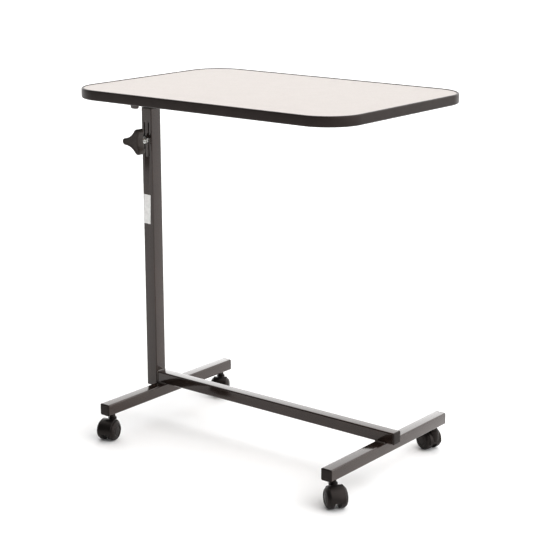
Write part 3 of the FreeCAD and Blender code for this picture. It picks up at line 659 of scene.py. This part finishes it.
def weld_bead(start, end, first, second):
    """A weld along the line where two faces meet: overlapping crescents, thinner at both ends."""
    length, along = (end - start).length, (end - start).normalized()
    count = round(length / BEAD_PITCH) * BEAD_STEPS
    rings = []
    for step in range(count + 1):
        share = step / count
        ripple = RIPPLE * math.cos(2 * math.pi * step / BEAD_STEPS) + WANDER * math.sin(step * WANDER_TURN)
        taper = min(1, BEAD_END + BEAD_RISE * length * min(share, 1 - share))
        slip = BEAD_SLIP / WELD_LEG if 0 < step < count else 0
        middle = start + (end - start) * share
        ring = []
        for u, v in bead_section((WELD_LEG + ripple) * taper):
            ring.append(middle + first * u + second * v + along * slip * math.hypot(u, v))
        rings.append(ring)
    return loft("bead", rings, Matrix.Scale(MM, 4))


def make_welds():
    beam_low, beam_size, _ = box_of("base_beam_tube")
    _, mast_size, _ = box_of("outer_mast_tube")
    side, mast_side = beam_size.y / 2, beam_low.x
    bottom, top = beam_low.z, beam_low.z + beam_size.z
    beads = []
    for sign in (-1, 1):
        out = Y * sign
        corner = Vector((mast_side, sign * side, bottom))
        beads.append(weld_bead(corner, corner + Z * beam_size.z, out, X))
        corner = Vector((mast_side, sign * mast_size.x / 2, bottom))
        beads.append(weld_bead(corner - Z * BEAM_DROP, corner, out, -X))
    corner = Vector((mast_side, -side, top))
    beads.append(weld_bead(corner, corner + Y * beam_size.y, X, Z))
    for node, room in (("mast_side_foot_tube", WELD_LEG), ("far_foot_tube", 0)):
        low, size, _ = box_of(node)
        for sign in (-1, 1):
            corner = Vector((low.x + room, sign * side, bottom))
            beads.append(weld_bead(corner, corner + X * (size.x - room), Y * sign, Z))
    finish_piece(joined("weld_beads_skin", beads), WELD, "base", "weld_beads")


# ---- guide collar

def make_guide_collar():
    low, size, middle = box_of("mast_guide_collar")
    _, tube_size, _ = box_of("inner_mast_tube")
    bore = tube_size.x + SLIDE_ROOM
    height, sleeve = size.z, size.z - COLLAR_LIP
    half = (size.x - bore) / 4
    outside = rounded([
        (half + TUBE_WALL / 2, 0, 0), (TUBE_WALL, 0, COLLAR_FOOT_ROUND), (TUBE_WALL, sleeve, 0),
        (0, sleeve, COLLAR_SEAT_ROUND), (0, height, COLLAR_LIP_ROUND), (half, height, 0)])
    inside = rounded([
        (-half, height, 0), (0, height, COLLAR_MOUTH_ROUND), (0, 0, COLLAR_FOOT_ROUND),
        (-COLLAR_RING, 0, 0)])
    rings = rings_of(rounded_outline(size.x, size.y, MAST_CORNER), outside)
    rings += rings_of(rounded_outline(bore, bore, INNER_CORNER), inside[1:])
    collar = loft("mast_guide_collar_skin", rings, placed(middle.x, 0, low.z), closed=True)
    finish_piece(collar, GUIDE_PLASTIC, "base", "mast_guide_collar")


# ---- fasteners

def hex_ring(width, z, chamfered):
    """A hexagon at a height, its corners cut back by a cone near the chamfered heights."""
    reach = width * HEX_REACH + min(abs(z - end) for end in chamfered) * HEX_CONE
    points = []
    for turn in range(6 * HEX_STEPS):
        angle = math.radians(60 * turn / HEX_STEPS)
        flat = width / 2 / math.cos((angle + math.pi / 6) % (math.pi / 3) - math.pi / 6)
        points.append((min(flat, reach) * math.cos(angle), min(flat, reach) * math.sin(angle), z))
    return points


def hex_solid(name, place, width, height, chamfered, bore=0.0):
    """A bolt head or a nut: hexagonal, chamfered at the given heights, bored through if it is a nut."""
    near = [HEX_LEVEL * step for step in range(1, HEX_LEVELS + 1)]
    levels = sorted({*(height * step / 4 for step in range(5)), *near, *(height - level for level in near)})
    rings = [hex_ring(width, z, chamfered) for z in levels]
    if not bore:
        return loft(name, rings, place)
    profile = [(-BORE_CHAMFER, height), (0, height - BORE_CHAMFER_HEIGHT), (0, BORE_CHAMFER_HEIGHT),
               (-BORE_CHAMFER, 0)]
    rings += rings_of(round_outline(bore / 2, 6 * HEX_STEPS), profile)
    return loft(name, rings, place, closed=True)


def thread(name, place, radius, length, bare=0.0, steps=36, per_pitch=8):
    """A rod with a single-start thread, bare at its lower end."""
    count = round(length / THREAD_PITCH * per_pitch)
    depth = THREAD_DEPTH * THREAD_PITCH
    rings = []
    for level in range(count + 1):
        z = length * level / count
        ring = []
        for step in range(steps):
            phase = (z / THREAD_PITCH - step / steps) % 1
            runout = min(1, max(0, z - bare), length - z)
            groove = depth * max(0, 1 - abs(phase - 0.5) * THREAD_FLANK) * runout
            angle = 2 * math.pi * step / steps
            ring.append(((radius - groove) * math.cos(angle), (radius - groove) * math.sin(angle), z))
        rings.append(ring)
    return loft(name, rings, place)


def make_clamp_nut():
    low, size, middle = box_of("clamp_weld_nut")
    place = placed(middle.x, low.y + size.y, middle.z, -Y, X)
    width = min(size.x, size.z)
    nut = hex_solid("clamp_weld_nut_skin", place, width, size.y, [size.y], STUD + NUT_ROOM)
    finish_piece(nut, ZINC, "base", "clamp_weld_nut")


def make_stud():
    low, size, middle = box_of("clamp_stud")
    place = placed(middle.x, low.y + size.y, middle.z, -Y, X)
    stud = thread("clamp_stud_skin", place, STUD / 2, size.y)
    finish_piece(stud, ZINC, "knob", "clamp_stud")


def make_bolt():
    low, size, middle = box_of("saddle_bolt")
    nut_low, nut_size, _ = box_of("saddle_nut")
    width = min(nut_size.x, nut_size.z)
    head = hex_solid("head", placed(middle.x, low.y, middle.z, Y, X), width, BOLT_HEAD, [0])
    place = placed(middle.x, low.y + BOLT_HEAD, middle.z, Y, X)
    shank = thread("shank", place, STUD / 2, size.y - BOLT_HEAD, bare=BOLT_BARE)
    finish_piece(joined("saddle_bolt_skin", [head, shank]), ZINC, "carriage", "saddle_bolt")
    place = placed(middle.x, nut_low.y, middle.z, Y, X)
    nut = hex_solid("saddle_nut_skin", place, width, nut_size.y, [0, nut_size.y], STUD)
    finish_piece(nut, ZINC, "carriage", "saddle_nut")


def screw_places():
    """Four screws near the head plate's corners, two near the cross rail's ends."""
    low, size, _ = box_of("head_plate")
    corners = [(low.x + x, low.y + y) for x in (SCREW_MARGIN, size.x - SCREW_MARGIN)
               for y in (SCREW_MARGIN, size.y - SCREW_MARGIN)]
    low, size, middle = box_of("cross_rail")
    return corners + [(middle.x, low.y + y) for y in (SCREW_MARGIN, size.y - SCREW_MARGIN)]


def wood_screw(x, y, low, length, turn):
    """A pan-head wood screw with a cross recess."""
    profile = [*SCREW_PAN, (0, SCREW_HEAD_HEIGHT, SCREW_RIM_ROUND), (SCREW_SHANK, SCREW_HEAD_HEIGHT, 0),
               (SCREW_SHANK, length, 0)]
    screw = stack("screw", round_outline(SCREW_HEAD, SCREW_STEPS), rounded(profile), placed(x, y, low))
    outline = rounded_outline(RECESS_LENGTH, RECESS_WIDTH, RECESS_CORNER)
    slots = []
    for quarter in (0, 90):
        place = placed(x, y, low - CUT_MARGIN, Z, polar(1, turn + quarter).to_3d())
        slots.append(stack("slot", outline, [(0, 0), (RECESS_TAPER, RECESS_HEIGHT)], place))
    return carved(screw, "DIFFERENCE", slots)


def make_screws():
    low, size, _ = box_of("wood_screws")
    screws = [wood_screw(x, y, low.z, size.z, SCREW_TURN * index)
              for index, (x, y) in enumerate(screw_places())]
    finish_piece(joined("wood_screws_skin", screws), ZINC, "carriage", "wood_screws")


# ---- knob

def make_knob():
    low, size, _ = box_of("clamp_knob")
    place = placed(KNOB_CENTRE.x, low.y + size.y, KNOB_CENTRE.z, -Y, X)
    thick, core = size.y, KNOB_TIP - KNOB_CORE
    outline = lobed_outline(KNOB_RADIUS, KNOB_TIP, KNOB_FLANK, KNOB_ANGLE)
    face = [(inset, thick - depth, radius) for inset, depth, radius in KNOB_FACE]
    profile = [(core, 0, 0), (0, 0, KNOB_BACK_ROUND), *face, (core, thick - KNOB_DISH, 0)]
    knob = stack("clamp_knob_skin", outline, rounded(profile, steps=6), place)
    finish_piece(knob, KNOB_PLASTIC, "knob", "clamp_knob")


# ---- carriage

def make_inner_tube():
    low, size, middle = box_of("inner_mast_tube")
    place = placed(middle.x, 0, low.z)
    inner = tube("inner_mast_tube_skin", place, (size.x, size.y), INNER_WALL, INNER_CORNER, size.z)
    finish_piece(inner, INNER_PAINT, "carriage", "inner_mast_tube")


def make_arm():
    low, size, middle = box_of("carrier_arm")
    place = placed(low.x, 0, middle.z, X, Y)
    arm = tube("carrier_arm_skin", place, (size.y, size.z), TUBE_WALL, MAST_CORNER, size.x)
    finish_piece(arm, PAINT, "carriage", "carrier_arm")
    low, size, middle = box_of("carrier_arm_cap")
    place = placed(low.x + size.x, 0, middle.z, -X, Y)
    depth = size.x - CAP_FLANGE
    cap = end_cap("carrier_arm_cap_skin", place, (size.y, size.z), TUBE_WALL, MAST_CORNER, depth)
    finish_piece(cap, CAP_PLASTIC, "carriage", "carrier_arm_cap")


def saddle_path(half, drop):
    """The bar's middle line: up one cheek, over the two bends and down the other, denser near its ends."""
    middle = SADDLE_WALL / 2
    corners = [(middle - half, -drop, 0), (middle - half, -middle, SADDLE_BEND),
               (half - middle, -middle, SADDLE_BEND), (half - middle, -drop, 0)]
    path = [Vector(point) for point in rounded(corners, steps=8)]
    shares = [step / CHEEK_STEPS for step in range(CHEEK_STEPS)]
    up = [path[0].lerp(path[1], share ** 2) for share in shares]
    down = [path[-2].lerp(path[-1], share ** 0.5) for share in shares]
    return up + path[1:-2] + down + path[-1:]


def make_saddle():
    """A U of flat bar with bent corners, its two cheeks rounded at the bottom."""
    low, size, middle = box_of("saddle_bracket")
    path = saddle_path(size.y / 2, size.z)
    rings = []
    for index, at in enumerate(path):
        before, after = path[max(index - 1, 0)], path[min(index + 1, len(path) - 1)]
        along = (after - before).normalized()
        normal = Vector((-along.y, along.x))
        lack = SADDLE_CORNER - min(at.y + size.z, SADDLE_CORNER)
        half_width = size.x / 2 - SADDLE_CORNER + math.sqrt(max(SADDLE_CORNER ** 2 - lack ** 2, 0))
        section = rounded_outline(SADDLE_WALL, 2 * half_width, SADDLE_EDGE, steps=3)(0)
        rings.append([(v, at.x + normal.x * u, at.y + normal.y * u) for u, v in section])
    saddle = loft("saddle_bracket_skin", rings, placed(middle.x, 0, low.z + size.z))
    finish_piece(saddle, PAINT, "carriage", "saddle_bracket")


def make_plates():
    for node in ("head_plate", "cross_rail"):
        low, size, middle = box_of(node)
        profile = [(END_RING, 0, 0), (0, 0, PLATE_EDGE), (0, size.z, PLATE_EDGE), (END_RING, size.z, 0)]
        outline = rounded_outline(size.x, size.y, PLATE_CORNER)
        plate = stack(node + "_skin", outline, rounded(profile), placed(middle.x, middle.y, low.z))
        finish_piece(plate, PAINT, "carriage", node)


# ---- top

def make_moulding():
    """A T-section moulding round the top, with a small bead above the laminate."""
    low, size, middle = box_of("edge_moulding")
    ridge, tongue_low = size.z + MOULDING_BEAD, (size.z - TONGUE) / 2
    tongue_high, reach = tongue_low + TONGUE, MOULDING + TONGUE_DEPTH
    section = [(MOULDING, 0, 0), (0, 0, MOULDING_BELLY), (0, ridge, MOULDING_SHOULDER),
               (MOULDING, ridge, MOULDING_RIDGE), (MOULDING, tongue_high, 0), (reach, tongue_high, 0),
               (reach, tongue_low, 0), (MOULDING, tongue_low, 0)]
    outline = rounded_outline(size.x, size.y, TOP_CORNER, steps=TOP_STEPS)
    profile = rounded(section, closed=True, steps=7)
    place = placed(middle.x, middle.y, low.z)
    moulding = stack("edge_moulding_skin", outline, profile, place, closed=True)
    finish_piece(moulding, VINYL, "carriage", "edge_moulding")


def make_sheet(node, look):
    """A laminate that fills the moulding, its upper edge chamfered."""
    _, around, middle = box_of("edge_moulding")
    low, size, _ = box_of(node)
    outline = rounded_outline(around.x - 2 * MOULDING, around.y - 2 * MOULDING, TOP_CORNER - MOULDING,
                              steps=TOP_STEPS)
    profile = [(SHEET_FOOT_RING, 0, 0), (0, 0, SHEET_FOOT_ROUND), (0, size.z - SHEET_CHAMFER, 0),
               (SHEET_CHAMFER_WIDTH, size.z, 0), (SHEET_TOP_RING, size.z, 0)]
    sheet = stack(node + "_skin", outline, rounded(profile), placed(middle.x, middle.y, low.z))
    finish_piece(sheet, look, "carriage", node)
    return sheet


def make_top():
    make_moulding()
    sheet = make_sheet("top_laminate", CREAM)
    sheet.data.materials.append(PHENOLIC)
    for face in sheet.data.polygons:
        face.material_index = int(face.normal.z < FACE_TILT)
    make_sheet("backing_laminate", BACKING)


# ---- castors

def castor_frame(name):
    """The castor's axes, with the origin on the floor under its stem and X along its trail."""
    stem = Vector(JOINTS[name + "_swivel"]["pos_m"])
    axle = Vector(JOINTS[name + "_left_spin"]["pos_m"])
    trail = Vector((axle.x - stem.x, axle.y - stem.y, 0))
    return axes(Vector((stem.x, stem.y, 0)), Z, trail.normalized()), trail.length / MM, axle.z / MM


def across_axle(place, trail, offset, axle, side):
    """The matrix of a piece whose own Z runs along the axle, out from an offset on one side."""
    turn = Matrix.Rotation(math.radians(-90 * side), 4, "X")
    return place @ Matrix.Translation((trail, offset, axle)) @ turn


def swept(name, section, centre, place):
    """A closed section (radius, across) swept over the wheels about the axle."""
    rings = []
    for step in range(HOOD_STEPS + 1):
        angle = math.radians(HOOD_START + HOOD_SPAN * step / HOOD_STEPS)
        rings.append([(centre[0] + radius * math.cos(angle), across, centre[1] + radius * math.sin(angle))
                      for radius, across in section])
    return loft(name, rings, place)


def make_hood(name):
    """A curved shell over both wheels, a web between them, a hub for the axle and a boss for the stem."""
    place, trail, axle = castor_frame(name)
    inner, outer, web, half = WHEEL_ROOM, WHEEL_ROOM + HOOD_WALL, WEB / 2, HOOD_WIDTH / 2
    section = rounded([
        (HOOD_CORE, -web, 0), (inner, -web, WEB_ROUND), (inner, -half, LIP_ROUND),
        (outer, -half, SHELL_ROUND), (outer, half, SHELL_ROUND), (inner, half, LIP_ROUND),
        (inner, web, WEB_ROUND), (HOOD_CORE, web, 0)], closed=True, steps=4)
    hood = swept("hood", section, (trail, axle), place)
    hub_place = across_axle(place, trail, -web, axle, 1)
    hub = stack("hub", round_outline(HUB_RADIUS, ROUND_STEPS), [(0, 0), (0, WEB)], hub_place)
    profile = rounded([(BOSS_RING, 0, 0), (0, 0, 0), (0, outer, BOSS_ROUND), (BOSS_RING, outer, 0)])
    boss_place = place @ Matrix.Translation((0, 0, axle))
    boss = stack("boss", round_outline(BOSS_RADIUS, ROUND_STEPS), profile, boss_place)
    rooms = []
    room = round_outline(inner, WHEEL_STEPS)
    for side in (-1, 1):
        room_place = across_axle(place, trail, side * web, axle, side)
        rooms.append(stack("room", room, [(0, 0), (0, half + ROOM_MARGIN)], room_place))
    carved(boss, "DIFFERENCE", rooms)
    carved(hood, "UNION", [hub, boss], bevel=HOOD_BEVEL)
    hood.name = name + "_castor_hood_skin"
    finish_piece(hood, CASTOR_PLASTIC, name + "_castor", name + "_castor_hood")


def make_wheel(name, side):
    """A dished wheel: rounded shoulder, ringed outer face, and a blind bore for the axle inside."""
    place, trail, axle = castor_frame(name)
    sign = 1 if side == "left" else -1
    bore, ring, blind = axle - AXLE_BORE, axle - HUB_RING, WHEEL_WIDTH - AXLE_CAP
    face = WHEEL_WIDTH - WHEEL_DISH
    rings = [(inset, face - depth, radius) for inset, depth, radius in WHEEL_FACE]
    section = rounded([
        (ring, blind, 0), (bore, blind, 0), (bore, 0, BORE_ROUND), (TREAD_CHAMFER, 0, 0),
        (0, TREAD_CHAMFER, TREAD_ROUND), (0, face, WHEEL_SHOULDER), *rings, (ring, face, 0)], steps=7)
    wheel_place = across_axle(place, trail, sign * WHEEL_INNER, axle, sign)
    wheel = stack(f"{name}_wheel_{side}_skin", round_outline(axle, WHEEL_STEPS), section, wheel_place)
    finish_piece(wheel, WHEEL_PLASTIC, f"{name}_{side}_wheel", f"{name}_wheel_{side}")


# ---- stage: floor, world, light and camera

def make_floor():
    data = bpy.data.meshes.new("floor")
    reach = FLOOR_REACH
    corners = [(-reach, -reach, 0), (reach, -reach, 0), (reach, reach, 0), (-reach, reach, 0)]
    data.from_pydata(corners, [], [(0, 1, 2, 3)])
    floor = bpy.data.objects.new("floor", data)
    bpy.context.scene.collection.objects.link(floor)
    data.materials.append(Look("floor_white", (0.9, 0.9, 0.9), 0.7).material)


def make_world():
    """A soft white room, darker on the side that faces the front of the table."""
    world = bpy.data.worlds.new("studio")
    bpy.context.scene.world = world
    world.use_nodes = True
    tree = world.node_tree
    back = tree.nodes["Background"]
    place = tree.nodes.new("ShaderNodeTexCoord")
    side = tree.nodes.new("ShaderNodeVectorMath")
    side.operation = "DOT_PRODUCT"
    side.inputs[1].default_value = DARK_SIDE.normalized()
    tree.links.new(place.outputs["Generated"], side.inputs[0])
    span = tree.nodes.new("ShaderNodeMapRange")
    span.interpolation_type = "SMOOTHSTEP"
    set_range(span, DARK_FROM, DARK_TO, BRIGHT, DIM)
    tree.links.new(side.outputs["Value"], span.inputs["Value"])
    tree.links.new(span.outputs["Result"], back.inputs["Strength"])
    back.inputs["Color"].default_value = (1, 1, 1, 1)


def make_key_light():
    """A wide soft sun that lights the whole floor evenly."""
    data = bpy.data.lights.new("key", "SUN")
    data.energy = KEY_STRENGTH
    data.angle = math.radians(KEY_SPREAD)
    light = bpy.data.objects.new("key", data)
    bpy.context.scene.collection.objects.link(light)
    light.rotation_euler = Vector(KEY_DIRECTION).to_track_quat("Z", "Y").to_euler()


def make_camera():
    data = bpy.data.cameras.new("camera")
    data.sensor_width, data.lens = SENSOR, LENS
    camera = bpy.data.objects.new("camera", data)
    camera.location = CAMERA
    camera.rotation_euler = (math.radians(90 - PITCH), 0, math.radians(YAW))
    bpy.context.scene.collection.objects.link(camera)
    bpy.context.scene.camera = camera


# ---- the whole scene

dress_cad_solids()
make_mast()
make_foot_tube("mast_side_foot_tube")
make_foot_tube("far_foot_tube")
make_beam()
make_end_caps()
make_welds()
make_guide_collar()
make_clamp_nut()
make_knob()
make_stud()
make_inner_tube()
make_arm()
make_saddle()
make_bolt()
make_plates()
make_screws()
make_top()
for castor in CASTORS:
    make_hood(castor)
    make_wheel(castor, "left")
    make_wheel(castor, "right")

make_floor()
make_world()
make_key_light()
make_camera()
bpy.context.scene.view_settings.view_transform = "Standard"
bpy.context.scene.view_settings.gamma = GAMMA
